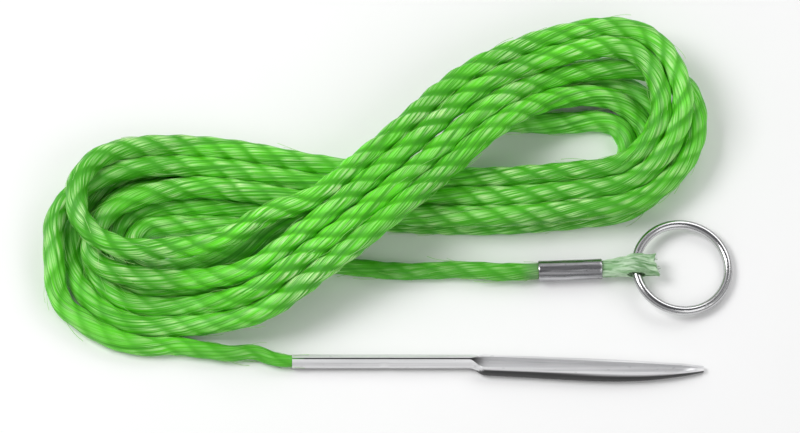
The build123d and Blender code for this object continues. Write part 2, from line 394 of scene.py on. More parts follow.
@dataclass(frozen=True)
class SharedEffects:
    """Shader node groups that more than one finish uses."""

    filaments: Tree
    drawn_lines: Tree

    @classmethod
    def build(cls) -> SharedEffects:
        """Build both groups."""
        return cls(cls.filament_group(), cls.drawn_group())

    @staticmethod
    def filament_group() -> Tree:
        """Return fine filaments side by side, some of them brighter, in loose tufts."""
        bench = EffectBench("filaments")
        fine = bench.grain(1.0, 3.0)
        wide = bench.grain(0.55, 2.0)
        tuft = bench.grain(0.28, 1.0)
        strand = bench.math("MULTIPLY_ADD", fine, 0.5, bench.times(wide, 0.5))
        return bench.close(
            Streak=bench.ranged(strand, 0.45, 0.59),
            Tuft=bench.ranged(tuft, 0.38, 0.64),
            Height=bench.math("ADD", fine, bench.times(tuft, 0.8)),
        )

    @staticmethod
    def drawn_group() -> Tree:
        """Return the lines left by drawing and rolling metal, with small pits and smudges."""
        bench = EffectBench("drawn_lines")
        line = bench.grain(1.0, 4.0, 0.02)
        smudge = bench.grain(0.16, 3.0, 0.3)
        pit = bench.ranged(bench.grain(0.9, 1.0, 0.5), 0.68, 0.76)
        return bench.close(
            Line=bench.ranged(line, 0.32, 0.68),
            Smudge=bench.ranged(smudge, 0.36, 0.66),
            Pit=pit,
            Height=bench.math("SUBTRACT", line, pit),
        )


class Surface(NodeBench):
    """A material with one Principled shader."""

    def __init__(self, name: str) -> None:
        """Make the material.

        Args:
            name: the material's name.
        """
        self.material = bpy.data.materials.new(name)
        self.material.use_nodes = True
        super().__init__(self.material.node_tree)
        self.shader = self.tree.nodes["Principled BSDF"].inputs

    def attribute(self, name: str, output: str = "Fac") -> Socket:
        """Return a named attribute of the piece, as a number or a vector."""
        return self.add("ShaderNodeAttribute", attribute_name=name)[output]

    def place(self) -> Socket:
        """Return the Object coordinates."""
        return self.add("ShaderNodeTexCoord")["Object"]

    def effect(self, group: Tree, vector: Value, scale: float) -> Outputs:
        """Place a shared effect and return its outputs."""
        return self.add("ShaderNodeGroup", vector, scale, node_tree=group)

    def set(self, **values: Value) -> None:
        """Set or link inputs of the shader, with spaces for underscores in their names."""
        for name, value in values.items():
            self.put(self.shader[name.replace("_", " ")], value)

    def bump(self, height: Value, strength: float, depth: float) -> None:
        """Give the shader a bumped normal of a strength and depth."""
        sizes = {"Height": height, "Strength": strength, "Distance": depth}
        self.set(Normal=self.add("ShaderNodeBump", inputs=sizes)[0])


@dataclass(frozen=True)
class RopeFinish:
    """Green twisted rope of fine, glossy filaments."""

    name: str = "green_rope"
    # the groove colour is painted shade in the grooves between the strands
    groove: Colour = (0.065, 0.440, 0.005, 1.0)
    body: Colour = (0.165, 0.900, 0.016, 1.0)
    shade: Colour = (0.042, 0.330, 0.003, 1.0)
    shine: Colour = (0.640, 1.000, 0.420, 1.0)
    # painted highlight on the strands' crests, partly the filaments' own paler colour
    squeezed: Colour = (0.200, 0.290, 0.170, 1.0)
    shade_scale: float = 34.0
    shine_scale: float = 70.0
    scatter_depth: float = 2.2 * MM
    scatter_radius: Place = (0.35, 1.0, 0.15)
    bump_depth: float = 0.30 * MM

    def strands(self, made: Surface, fibre: Outputs) -> Socket:
        """Colour the strands: painted shade in grooves, filament gaps, broad patches and low turns; darker on
        the legs.

        Args:
            made: the material.
            fibre: values of its filaments.

        Returns:
            The colour.
        """
        tuft = fibre["Tuft"]
        # painted shade: from the groove colour low between the strands to the body colour on their crests
        raised = made.ranged(made.attribute("crest"), 0.0, 0.5)
        lit = made.times(raised, made.ranged(tuft, 0.0, 1.0, 0.5, 1.0))
        colour = made.mixed(lit, self.groove, self.body)
        # painted shade in broad patches
        broad = made.ranged(made.noise(made.place(), self.shade_scale), 0.46, 0.62, 0.0, 0.80)
        dark = made.times(broad, made.ranged(tuft, 0.0, 1.0, 0.45, 1.0))
        colour = made.mixed(dark, colour, self.shade)
        # painted shade where the turns lie low and their strands stand out less, and between the filaments;
        # darker on the legs
        low_turn_shade = made.ranged(made.attribute("tight"), 0.40, 0.95, 0.36, 0.0)
        gap = made.ranged(fibre["Height"], 0.70, 1.00, 0.85, 0.0)
        leg = made.ranged(made.attribute("fray"), 1.0, 2.0, 0.0, 0.70)
        leg = made.times(leg, made.math("MAXIMUM", tuft, 0.75))
        dim = made.math("MAXIMUM", made.math("MAXIMUM", low_turn_shade, gap), leg)
        return made.mixed(dim, colour, self.shade)

    def build(self, effects: SharedEffects) -> Material:
        """Make the material.

        Args:
            effects: the shared effects.

        Returns:
            The material.
        """
        made = Surface(self.name)
        fibre = made.effect(effects.filaments, made.attribute("fibre", "Vector"), 1.0)
        streak = fibre["Streak"]
        # painted highlight: paler filaments on the crests, partly their own paler colour and partly painted
        # light
        bright = made.ranged(made.noise(made.place(), self.shine_scale), 0.35, 0.68, 0.30, 1.0)
        bright = made.times(streak, bright)
        bright = made.times(bright, made.ranged(made.attribute("fray"), 1.0, 2.0, 1.0, 0.45))
        bright = made.times(bright, made.ranged(made.attribute("crest"), 0.24, 0.74))
        colour = made.mixed(bright, self.strands(made, fibre), self.shine)
        reach = made.distance(made.place(), tuple(number * MM for number in FERRULE_MOUTH))
        colour = made.mixed(made.ranged(reach, 0.5 * MM, 5.0 * MM, 0.85, 0.0), colour, self.squeezed)
        made.set(
            Base_Color=colour,
            Roughness=made.ranged(streak, 0.0, 1.0, 0.50, 0.28),
            Specular_IOR_Level=0.4,
            Subsurface_Weight=0.4,
            Subsurface_Scale=self.scatter_depth,
            Subsurface_Radius=self.scatter_radius,
        )
        made.bump(fibre["Height"], 0.9, self.bump_depth)
        return made.material


LOOSE_FINISH = RopeFinish(
    name="loose_filament",
    groove=(0.16, 0.62, 0.04, 1.0),
    body=(0.32, 0.86, 0.14, 1.0),
    shade=(0.24, 0.70, 0.09, 1.0),
)


@dataclass(frozen=True)
class EyeFinish:
    """Pale, heat-set end of the rope, flattened and frayed, with a painted shadow beside the wire that lies
    under it.
    """

    shade: Colour = (0.150, 0.330, 0.130, 1.0)
    body: Colour = (0.330, 0.570, 0.295, 1.0)
    white: Colour = (0.600, 0.800, 0.560, 1.0)
    # colour of the painted shadow where the wire lies under the band
    rubbed: Colour = (0.200, 0.260, 0.190, 1.0)
    wire_spot: Place = (0.0617, -0.0173, 0.0067)
    bump_depth: float = 0.35 * MM

    def build(self, effects: SharedEffects) -> Material:
        """Make the material.

        Args:
            effects: the shared effects.

        Returns:
            The material.
        """
        made = Surface("pale_rope_end")
        fibre = made.effect(effects.filaments, made.attribute("fibre", "Vector"), 1.0)
        colour = made.mixed(fibre["Tuft"], self.shade, self.body)
        colour = made.mixed(made.times(fibre["Streak"], 0.85), colour, self.white)
        # painted shadow where the wire lies under the band
        near_wire = made.ranged(made.distance(made.place(), self.wire_spot), 0.6 * MM, 3.0 * MM, 0.75, 0.0)
        colour = made.mixed(made.times(near_wire, fibre["Tuft"]), colour, self.rubbed)
        made.set(Base_Color=colour, Roughness=made.ranged(fibre["Streak"], 0.0, 1.0, 0.60, 0.42))
        made.bump(fibre["Height"], 1.0, self.bump_depth)
        return made.material


@dataclass(frozen=True)
class MetalFinish:
    """Bare or plated metal with lines along its length, darkened by painted shade where the piece stores a
    share of it.
    """

    name: str
    dark: Colour
    body: Colour
    smudge: Colour
    scale: float
    rough: Plan
    bump_depth: float
    wear: float
    attribute: str = ""
    metallic: float = 1.0
    # colour of the painted shade
    grime: Colour = (0.018, 0.018, 0.018, 1.0)

    def build(self, effects: SharedEffects) -> Material:
        """Make the material.

        Args:
            effects: the shared effects.

        Returns:
            The material.
        """
        made = Surface(self.name)
        vector = made.attribute(self.attribute, "Vector") if self.attribute else made.place()
        marks = made.effect(effects.drawn_lines, vector, self.scale)
        colour = made.mixed(marks["Line"], self.dark, self.body)
        colour = made.mixed(made.times(marks["Smudge"], self.wear), colour, self.smudge)
        colour = made.mixed(made.times(marks["Pit"], self.wear), colour, self.dark)
        # painted shade where the piece stores a share of it: the needle's near side outside and its bore
        colour = made.mixed(made.attribute("grime"), colour, self.grime)
        rough = made.ranged(made.math("ADD", marks["Line"], marks["Smudge"]), 0.0, 2.0, *self.rough)
        made.set(Base_Color=colour, Metallic=self.metallic, Roughness=rough)
        made.bump(marks["Height"], 0.5, self.bump_depth)
        return made.material


FERRULE_FINISH = MetalFinish(
    name="ferrule_aluminium",
    dark=(0.16, 0.16, 0.17, 1.0),
    body=(0.62, 0.62, 0.64, 1.0),
    smudge=(0.30, 0.30, 0.31, 1.0),
    scale=1500.0,
    rough=(0.16, 0.34),
    bump_depth=0.06 * MM,
    wear=0.7,
)
RING_FINISH = MetalFinish(
    name="plated_wire",
    dark=(0.42, 0.42, 0.43, 1.0),
    body=(0.80, 0.80, 0.80, 1.0),
    smudge=(0.52, 0.52, 0.53, 1.0),
    scale=1.0,
    rough=(0.10, 0.24),
    bump_depth=0.03 * MM,
    wear=0.5,
    attribute="wire",
)
NEEDLE_FINISH = MetalFinish(
    name="rolled_steel",
    dark=(0.66, 0.66, 0.67, 1.0),
    body=(0.96, 0.96, 0.97, 1.0),
    smudge=(0.78, 0.78, 0.79, 1.0),
    scale=1300.0,
    rough=(0.30, 0.48),
    bump_depth=0.05 * MM,
    wear=0.6,
    metallic=0.30,
)


class Station(NamedTuple):
    """One station of the rope's route: its centre and its plan heading."""

    point: Vector
    heading: float


class Bundle(NamedTuple):
    """Runs of rope side by side: their middle, their heading and the heading square to their rows."""

    middle: Plan
    heading: float
    square: float


@dataclass(frozen=True)
class HankRoute:
    """The rope's route in millimetres: three turns on the table and three on top of them.

    A spot is x, y, level and heading, where level 0 is on the table and level 1 on top of one rope. The
    waist and the crossing give the row and the level of each turn in its bundle.
    """

    rope_d: float = 4.6
    pitch: float = 5.2
    rest: float = 1.84
    turns: int = 6
    storey_turns: int = 3
    left_bend: Plan = (-58.1, -11.6)
    left_bend_r: float = 5.8
    left_nests: tuple[int, ...] = (1, 3, 2)
    left_angles: tuple[Plan, ...] = ((90, 181), (180, 270), (270, 0))
    right_bend: Plan = (52.2, 15.3)
    right_bend_r: float = 7.8
    right_bend_tilt: float = 6.6
    right_nests: tuple[int, ...] = (2, 0, 1)
    right_levels: tuple[float, ...] = (0.0, 0.0, 0.75)
    rising: tuple[Bundle, ...] = (
        Bundle((-27.9, -19.9), 37, 33),
        Bundle((-9.1, -6.9), 42, 49),
        Bundle((15.1, 15.3), 45, 49),
    )
    waist: tuple[Plan, ...] = (
        (-1.79, 1.0), (-0.05, 0.55), (1.70, 2.0), (0.72, 2.3), (-0.35, 2.2), (-2.17, 2.5),
    )
    crossing: tuple[Plan, ...] = (
        (-1.03, 2.0), (0.97, 2.0), (1.56, 2.88), (0.56, 2.88), (-0.53, 2.88), (-1.50, 2.88),
    )
    falling: tuple[Bundle, ...] = (Bundle((22.0, 0.0), 180, 180), Bundle((-1.0, 1.0), 173, 176))
    falling_rows: tuple[int, ...] = (-1, 1, 0)
    first_spot: Spot = (-30.3, -8.6, 0, 157)
    upper_right: tuple[tuple[Spot, ...], ...] = (
        ((53.8, 34.8, 1.05, 7), (77.0, 23.2, 0.95, 274)),
        ((54.9, 38.9, 1.95, 7), (68.1, 25.4, 2.05, 276)),
        ((54.3, 44.2, 1.90, 8), (73.3, 26.9, 2.05, 277)),
    )
    upper_left: tuple[tuple[Spot, ...], ...] = (
        ((-59.5, 0.9, 1, 191), (-73.5, -10.4, 1, 255), (-53.3, -22.4, 1, 0)),
        ((-59.6, 13.4, 1.25, 181), (-77.7, -1.3, 2.05, 264), (-62.0, -16.4, 2, 0)),
        ((-60.4, 8.3, 1, 182), (-83.4, -12.0, 1, 271), (-78.7, -29.6, 0.15, 320), (-61.5, -38.0, 0, 352)),
    )
    ring_leg_plan: tuple[Plan, ...] = ((-8.5, -16.8), (4.0, -18.3), (17.0, -17.3))
    ring_leg_straight: float = 9.0
    needle_leg_plan: tuple[Plan, ...] = ((-46.0, -39.1), (-39.5, -40.2), (-33.0, -39.4), (-28.5, -41.8))
    needle_axis: float = 1.75
    inside_ferrule: float = 2.0
    inside_needle: float = 3.0
    fold_arms: Plan = (1.5, 2.6)

    def spot(self, x: float, y: float, level: float, heading: float) -> Station:
        """Station on a level of the hank."""
        return Station(Vector((x, y, self.rest + level * self.pitch)), heading)

    def row_spot(self, bundle: Bundle, row: float, level: float) -> Station:
        """Station in a bundle, by its row and level."""
        side = heading_vector(bundle.square - 90) * (row * self.pitch)
        return self.spot(bundle.middle[0] + side.x, bundle.middle[1] + side.y, level, bundle.heading)

    def bend_spot(self, middle: Plan, reach: float, angle: float, heading: float, level: float) -> Station:
        """Station at a reach and an angle from the middle of a bend."""
        off = heading_vector(angle) * reach
        return self.spot(middle[0] + off.x, middle[1] + off.y, level, heading)

    def left_half_circle(self, nest: int) -> list[Station]:
        """Half circle on the table round the left bend, by its nest from the inside."""
        reach = self.left_bend_r + nest * self.pitch
        return [self.bend_spot(self.left_bend, reach, *angles, 0) for angles in self.left_angles]

    def right_spot(self, nest: int, angle: float, level: float) -> Station:
        """Station round the right bend, which is turned a little."""
        turned, reach = angle + self.right_bend_tilt, self.right_bend_r + nest * self.pitch
        return self.bend_spot(self.right_bend, reach, turned, turned - 90, level)

    def turn(self, number: int) -> list[Station]:
        """Find a turn's stations: over the crossing, round the right bend, back under it and round the left.

        Args:
            number: number of the turn.

        Returns:
            The stations.
        """
        storey, place = divmod(number, self.storey_turns)
        rows = (self.waist[number], self.crossing[number], self.crossing[number])
        over = [self.row_spot(bundle, *row) for bundle, row in zip(self.rising, rows)]
        nest = self.right_nests[place]
        if storey == 0:
            right = [self.right_spot(nest, 90, self.right_levels[place]), self.right_spot(nest, 0, 0)]
            left = self.left_half_circle(self.left_nests[place])
        else:
            right = [self.spot(*spot) for spot in self.upper_right[place]]
            left = [self.spot(*spot) for spot in self.upper_left[place]]
        under = [self.row_spot(bundle, self.falling_rows[place], storey) for bundle in self.falling]
        return over + right + [self.right_spot(nest, 270, storey)] + under + left

    def ring_leg(self) -> list[Vector]:
        """Return the points of the free stretch from the hank to the ferrule."""
        mouth = Vector(FERRULE_MOUTH)
        straight = heading_vector(FERRULE_HEADING) * self.ring_leg_straight
        return [Vector((*spot, self.rest)) for spot in self.ring_leg_plan] + [mouth - straight, mouth]

    def needle_leg(self) -> list[Vector]:
        """Return the points of the free stretch from the hank to the needle."""
        return [Vector((*spot, self.rest)) for spot in self.needle_leg_plan]

    def straight_end(self, leg: list[Vector]) -> list[Station]:
        """Find the two stations where a leg joins the hank.

        Args:
            leg: the leg's points, from the hank outwards.

        Returns:
            The stations, with headings into the hank.
        """
        inward = (leg[0] - leg[1]).normalized()
        heading = math.degrees(math.atan2(inward.y, inward.x))
        return [Station(leg[0], heading), Station(leg[0] + inward * self.rope_d, heading)]

    def stations(self) -> list[Station]:
        """Return all stations of the hank, from the ring leg to the needle leg."""
        route = self.straight_end(self.ring_leg())
        route += [self.spot(*self.first_spot)] + self.left_half_circle(0)
        for number in range(self.turns):
            route += self.turn(number)
        ends = self.straight_end(self.needle_leg())[::-1]
        return route + [Station(end.point, end.heading + 180) for end in ends]

    def tangents(self, route: list[Station]) -> list[Vector]:
        """Find the tangent at each station: its heading, with the gentler of the two slopes beside it.

        Args:
            route: the stations.

        Returns:
            The tangents.
        """
        rises = [(b.point.z - a.point.z) / (b.point - a.point).length for a, b in zip(route, route[1:])]
        slopes = [0.0]
        for before, after in zip(rises, rises[1:]):
            slopes.append(min(before, after, key=abs) if before * after > 0 else 0.0)
        slopes.append(0.0)
        return [heading_vector(station.heading, slope) for station, slope in zip(route, slopes)]

    def arm(self, chord: Vector, start: Vector, end: Vector) -> float:
        """Find the length of the two equal arms that lead from two stations to the corners between them.

        Args:
            chord: the way from one station to the other.
            start: tangent at the first.
            end: tangent at the second.

        Returns:
            The length.
        """
        bend = 2 * (start.dot(end) - 1)
        reach = -2 * chord.dot(start + end)
        square = chord.dot(chord)
        if abs(bend) < 1e-9:
            return -square / reach
        return (-reach - math.sqrt(reach * reach - 4 * bend * square)) / (2 * bend)

    def control_points(self) -> list[Vector]:
        """Find the control points of the rope's spline, from inside the ferrule to inside the needle.

        A point is added where a long run meets the tightest fold, which keeps the fold round.

        Returns:
            The points in metres.
        """
        ring_leg = self.ring_leg()
        points = [ring_leg[-1] + heading_vector(FERRULE_HEADING) * self.inside_ferrule] + ring_leg[::-1]
        route = self.stations()
        tangents = self.tangents(route)
        shortest, longest = self.fold_arms
        ends = list(zip(route, tangents, route[1:], tangents[1:]))
        arms = [self.arm(b.point - a.point, t, u) for a, t, b, u in ends]
        for (a, t, b, u), arm, following in zip(ends, arms, arms[1:] + arms[-1:]):
            points += [a.point + t * arm, b.point - u * arm]
            if shortest < following < longest < arm:
                points.append(b.point - u * following)
            elif shortest < arm < longest < following:
                points.append(b.point + u * arm)
        mouth = Vector((*NEEDLE_MOUTH, self.needle_axis))
        points += self.needle_leg() + [mouth, mouth + Vector((self.inside_needle, 0, 0))]
        return [point * MM for point in points]


# Shape of one loose filament of length 1: points of its bow, points along it and its sides
HAIR_BOW = ((0.0, 0.0, -0.01), (0.5, 0.0, 0.11), (1.0, 0.0, -0.02))
HAIR_STEPS = 5
HAIR_SIDES = 3


@dataclass(frozen=True)
class StrayFibres:
    """Loose filaments that stand off a soft piece, grown by geometry nodes.

    The piece's mesh carries "run", the direction of its fibres, and "fray", how many of them are loose.
    """

    density: float
    shortest: float
    longest: float
    thickness: float
    lift: float
    stray: float
    seed: int

    def tree(self, name: str) -> GeometryBench:
        """Make geometry nodes that scatter bowed hairs over a mesh, along its fibres.

        Args:
            name: the tree's name.

        Returns:
            The tree on its bench.
        """
        bench = GeometryBench(name, {label.title(): size for label, size in asdict(self).items()})
        size = bench.entry
        scatter = bench.add(
            "GeometryNodeDistributePointsOnFaces",
            size["Geometry"],
            inputs={"Density": bench.times(bench.named("fray"), size["Density"]), "Seed": size["Seed"]},
            distribute_method="RANDOM",
        )
        normal = scatter["Normal"]
        bow = bench.add("GeometryNodeCurveQuadraticBezier", HAIR_STEPS, *HAIR_BOW)[0]
        section = bench.circle(HAIR_SIDES, size["Thickness"])
        hair = bench.add("GeometryNodeCurveToMesh", bow, section, None, True)[0]
        jitter = bench.add(
            "FunctionNodeRandomValue",
            inputs={0: (-1.0, -1.0, -1.0), 1: (1.0, 1.0, 1.0), "Seed": size["Seed"]},
            data_type="FLOAT_VECTOR",
        )[0]
        run = bench.named("run", "FLOAT_VECTOR")
        heading = bench.vector("ADD", run, bench.scaled(jitter, size["Stray"]))
        heading = bench.vector("ADD", heading, bench.scaled(normal, size["Lift"]))
        upright = bench.add("FunctionNodeAlignRotationToVector", None, None, normal, axis="Z")[0]
        turned = bench.add(
            "FunctionNodeAlignRotationToVector", upright, None, heading, axis="X", pivot_axis="AUTO"
        )[0]
        reach = bench.add(
            "FunctionNodeRandomValue",
            inputs={2: size["Shortest"], 3: size["Longest"], "Seed": bench.math("ADD", size["Seed"], 1.0)},
            data_type="FLOAT",
        )[1]
        grown = bench.add(
            "GeometryNodeInstanceOnPoints",
            inputs={"Points": scatter["Points"], "Instance": hair, "Rotation": turned, "Scale": reach},
        )[0]
        hairs = bench.add("GeometryNodeRealizeInstances", grown)[0]
        x, y, z = bench.split(bench.position())
        above_table = bench.combined(x, y, bench.math("MAXIMUM", z, 0.0))
        bench.close(bench.add("GeometryNodeSetPosition", hairs, None, above_table)[0])
        return bench

    def grow(self, piece: Piece, material: Material) -> Piece:
        """Grow the fibres of a piece of the rope.

        Args:
            piece: the soft piece that they grow on.
            material: their material.

        Returns:
            The fibres as one piece.
        """
        name = f"{piece.name}_fibres"
        fibres = self.tree(name).run(name, piece.data.copy(), material)
        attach(fibres, "rope")
        return fibres


ROPE_FIBRES = StrayFibres(
    density=32000.0, shortest=2.5 * MM, longest=7.0 * MM, thickness=0.010, lift=0.03, stray=0.16, seed=3
)
EYE_FIBRES = StrayFibres(
    density=600000.0, shortest=0.5 * MM, longest=1.3 * MM, thickness=0.05, lift=0.05, stray=0.30, seed=8
)


@dataclass
class Rope:
    """The whole rope: three soft strands laid along one spline, from the ferrule to the needle.

    A swell is a distance from an end in millimetres and the share of the full thickness there.
    """

    route: HankRoute = HankRoute()
    length: float = 2.33
    diameter: float = 4.6 * MM
    radius: float = 2.90 * MM
    strands: int = 3
    relief: float = 0.16
    skew: float = 0.45
    unevenness: float = 0.14
    uneven_scale: float = 190.0
    lay: float = 21.8 * MM
    lay_drift: float = 4.0
    drift_scale: float = 75.0
    fibre_turn: float = 96.0 * MM
    fibres_around: float = 8.5
    fibres_along: float = 80.0
    ring_step: float = 1.2 * MM
    sides: int = 42
    soft: float = 0.4 * MM
    spline_steps: int = 12
    stretched_heights: Plan = (6.0 * MM, 15.0 * MM)
    least_tight: float = 0.46
    tight_scale: float = 45.0
    ferrule_swell: Knots = ((0.0, 0.74), (2.0, 0.74), (8.0, 0.82), (40.0, 0.80), (75.0, 1.0))
    needle_swell: Knots = ((0.0, 0.46), (3.0, 0.56), (8.0, 0.66), (18.0, 0.74), (50.0, 1.0))

    def spline_mesh(self) -> bpy.types.Mesh:
        """Return the rope's centre line, read from a spline on the route's control points."""
        line = bpy.data.curves.new("rope_line", "CURVE")
        line.dimensions = "3D"
        line.resolution_u = self.spline_steps
        spline = line.splines.new("NURBS")
        points = self.route.control_points()
        spline.points.add(len(points) - 1)
        for target, point in zip(spline.points, points):
            target.co = (*point, 1.0)
        spline.order_u = 3
        spline.use_endpoint_u = True
        holder = new_object("rope_line", line)
        mesh = evaluated_mesh(holder)
        bpy.data.objects.remove(holder)
        return mesh

    def swell(self, from_ferrule: float, from_needle: float) -> float:
        """Share of the full thickness, by the distances to both ends."""
        reads = ((self.ferrule_swell, from_ferrule), (self.needle_swell, from_needle))
        return min(smooth_through(knots, distance / MM)[0] for knots, distance in reads)

    def guide(self) -> tuple[bpy.types.Mesh, list[Vector]]:
        """Make the centre line with the rope's thickness along it.

        Returns:
            The line as a mesh, and its points.
        """
        mesh = self.spline_mesh()
        points = [vertex.co.copy() for vertex in mesh.vertices]
        reached = [0.0]
        for a, b in zip(points, points[1:]):
            reached.append(reached[-1] + (b - a).length)
        swell = mesh.attributes.new("swell", "FLOAT", "POINT")
        for item, along in zip(swell.data, reached):
            item.value = self.swell(along, reached[-1] - along)
        LOG.info("rope: drawn %.3f m long", reached[-1])
        return mesh, points

    def lay_tree(self) -> GeometryBench:
        """Return geometry nodes that lay a round tube along a line and raise its strands."""
        bench = GeometryBench("rope_lay", {
            "Rope Radius": self.radius,
            "Strand Relief": self.relief,
            "Strand Skew": self.skew,
            "Unevenness": self.unevenness,
            "Lay Length": self.lay,
            "Fibre Turn": self.fibre_turn,
            "Ring Step": self.ring_step,
            "Sides": self.sides,
            "Softness": self.soft,
        })
        size = bench.entry
        line = bench.add("GeometryNodeMeshToCurve", size["Geometry"])[0]
        line = bench.add("GeometryNodeResampleCurve", line, None, None, size["Ring Step"], mode="LENGTH")[0]
        parameter = bench.add("GeometryNodeSplineParameter")
        line = bench.store(line, "along", parameter["Length"])
        line = bench.store(line, "centre", bench.position(), "FLOAT_VECTOR")
        line = bench.store(line, "run", bench.add("GeometryNodeInputTangent")[0], "FLOAT_VECTOR")
        line = bench.store(line, "fray", bench.ranged(bench.named("swell"), 0.72, 0.90, 3.0, 1.0))
        profile = bench.circle(size["Sides"], size["Rope Radius"])
        profile = bench.store(profile, "around", parameter["Factor"])
        tube = bench.add("GeometryNodeCurveToMesh", line, profile, bench.named("swell"), True)[0]
        tube = bench.store(tube, "tight", self.tightness(bench))
        tube = bench.store(tube, "crest", self.crest(bench))
        tube = bench.store(tube, "fibre", self.fibres(bench), "FLOAT_VECTOR")
        bench.close(bench.add("GeometryNodeSetPosition", tube, None, self.raised(bench))[0])
        return bench

    def raised(self, bench: GeometryBench) -> Socket:
        """Find where a point of the tube goes: in towards the grooves, and up where it meets the table.

        Args:
            bench: the bench of the rope's tree.

        Returns:
            The place.
        """
        size = bench.entry
        centre = bench.named("centre", "FLOAT_VECTOR")
        valley = bench.math("SUBTRACT", 1.0, bench.named("crest"))
        share = bench.math("SUBTRACT", 1.0, bench.times(valley, size["Strand Relief"]))
        uneven = bench.noise(bench.scaled(bench.position(), self.uneven_scale), 1.0)
        share = bench.math("MULTIPLY_ADD", bench.math("SUBTRACT", uneven, 0.5), size["Unevenness"], share)
        radial = bench.vector("SUBTRACT", bench.position(), centre)
        x, y, z = bench.split(bench.vector("ADD", centre, bench.scaled(radial, share)))
        return bench.combined(x, y, bench.math("SMOOTH_MAX", z, 0.0, size["Softness"]))

    def crest(self, bench: GeometryBench) -> Socket:
        """Find the height of the strands at a point: 1 on a crest, 0 in a groove, with one flank steeper.

        Args:
            bench: the bench of the rope's tree.

        Returns:
            The height.
        """
        turn = bench.math("DIVIDE", bench.named("along"), bench.entry["Lay Length"])
        angle = bench.times(bench.math("SUBTRACT", bench.named("around"), turn), self.strands * math.tau)
        drift = bench.noise(bench.scaled(bench.named("centre", "FLOAT_VECTOR"), self.drift_scale), 1.0)
        angle = bench.math("MULTIPLY_ADD", drift, self.lay_drift, angle)
        lean = bench.times(bench.math("COSINE", angle), bench.entry["Strand Skew"])
        wave = bench.math("COSINE", bench.math("ADD", angle, lean))
        return bench.math("MULTIPLY_ADD", wave, bench.times(bench.named("tight"), 0.5), 0.5)

    def tightness(self, bench: GeometryBench) -> Socket:
        """Find how far the strands stand out: fully in the turns stretched over the crossing, less below.

        Args:
            bench: the bench of the rope's tree.

        Returns:
            The share of their full height.
        """
        centre = bench.named("centre", "FLOAT_VECTOR")
        stretched = bench.ranged(bench.split(centre)[2], *self.stretched_heights, self.least_tight, 1.0)
        patch = bench.noise(bench.scaled(centre, self.tight_scale), 1.0)
        return bench.times(stretched, bench.ranged(patch, 0.35, 0.62, 0.7, 1.15))

    def fibres(self, bench: GeometryBench) -> Socket:
        """Find coordinates that run along the filaments, without a seam round the rope.

        Args:
            bench: the bench of the rope's tree.

        Returns:
            The coordinates.
        """
        run = bench.math("DIVIDE", bench.named("along"), bench.entry["Fibre Turn"])
        angle = bench.times(bench.math("ADD", bench.named("around"), run), math.tau)
        around = bench.combined(bench.math("COSINE", angle), bench.math("SINE", angle), 0.0)
        lengthwise = bench.combined(0.0, 0.0, bench.times(bench.named("along"), self.fibres_along))
        return bench.vector("ADD", bench.scaled(around, self.fibres_around), lengthwise)

    def build(self, material: Material, loose: Material, needle: Piece) -> Piece:
        """Args:
            material: the rope's material.
            loose: material of its loose filaments.
            needle: the needle on its far end; not used.

        Returns:
            The rope.
        """
        guide, points = self.guide()
        rope = self.lay_tree().run("rope", guide, material)
        fibres = ROPE_FIBRES.grow(rope, loose)
        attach(rope, "rope")
        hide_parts("rope_hank", "ring_leg", "needle_leg")
        return rope


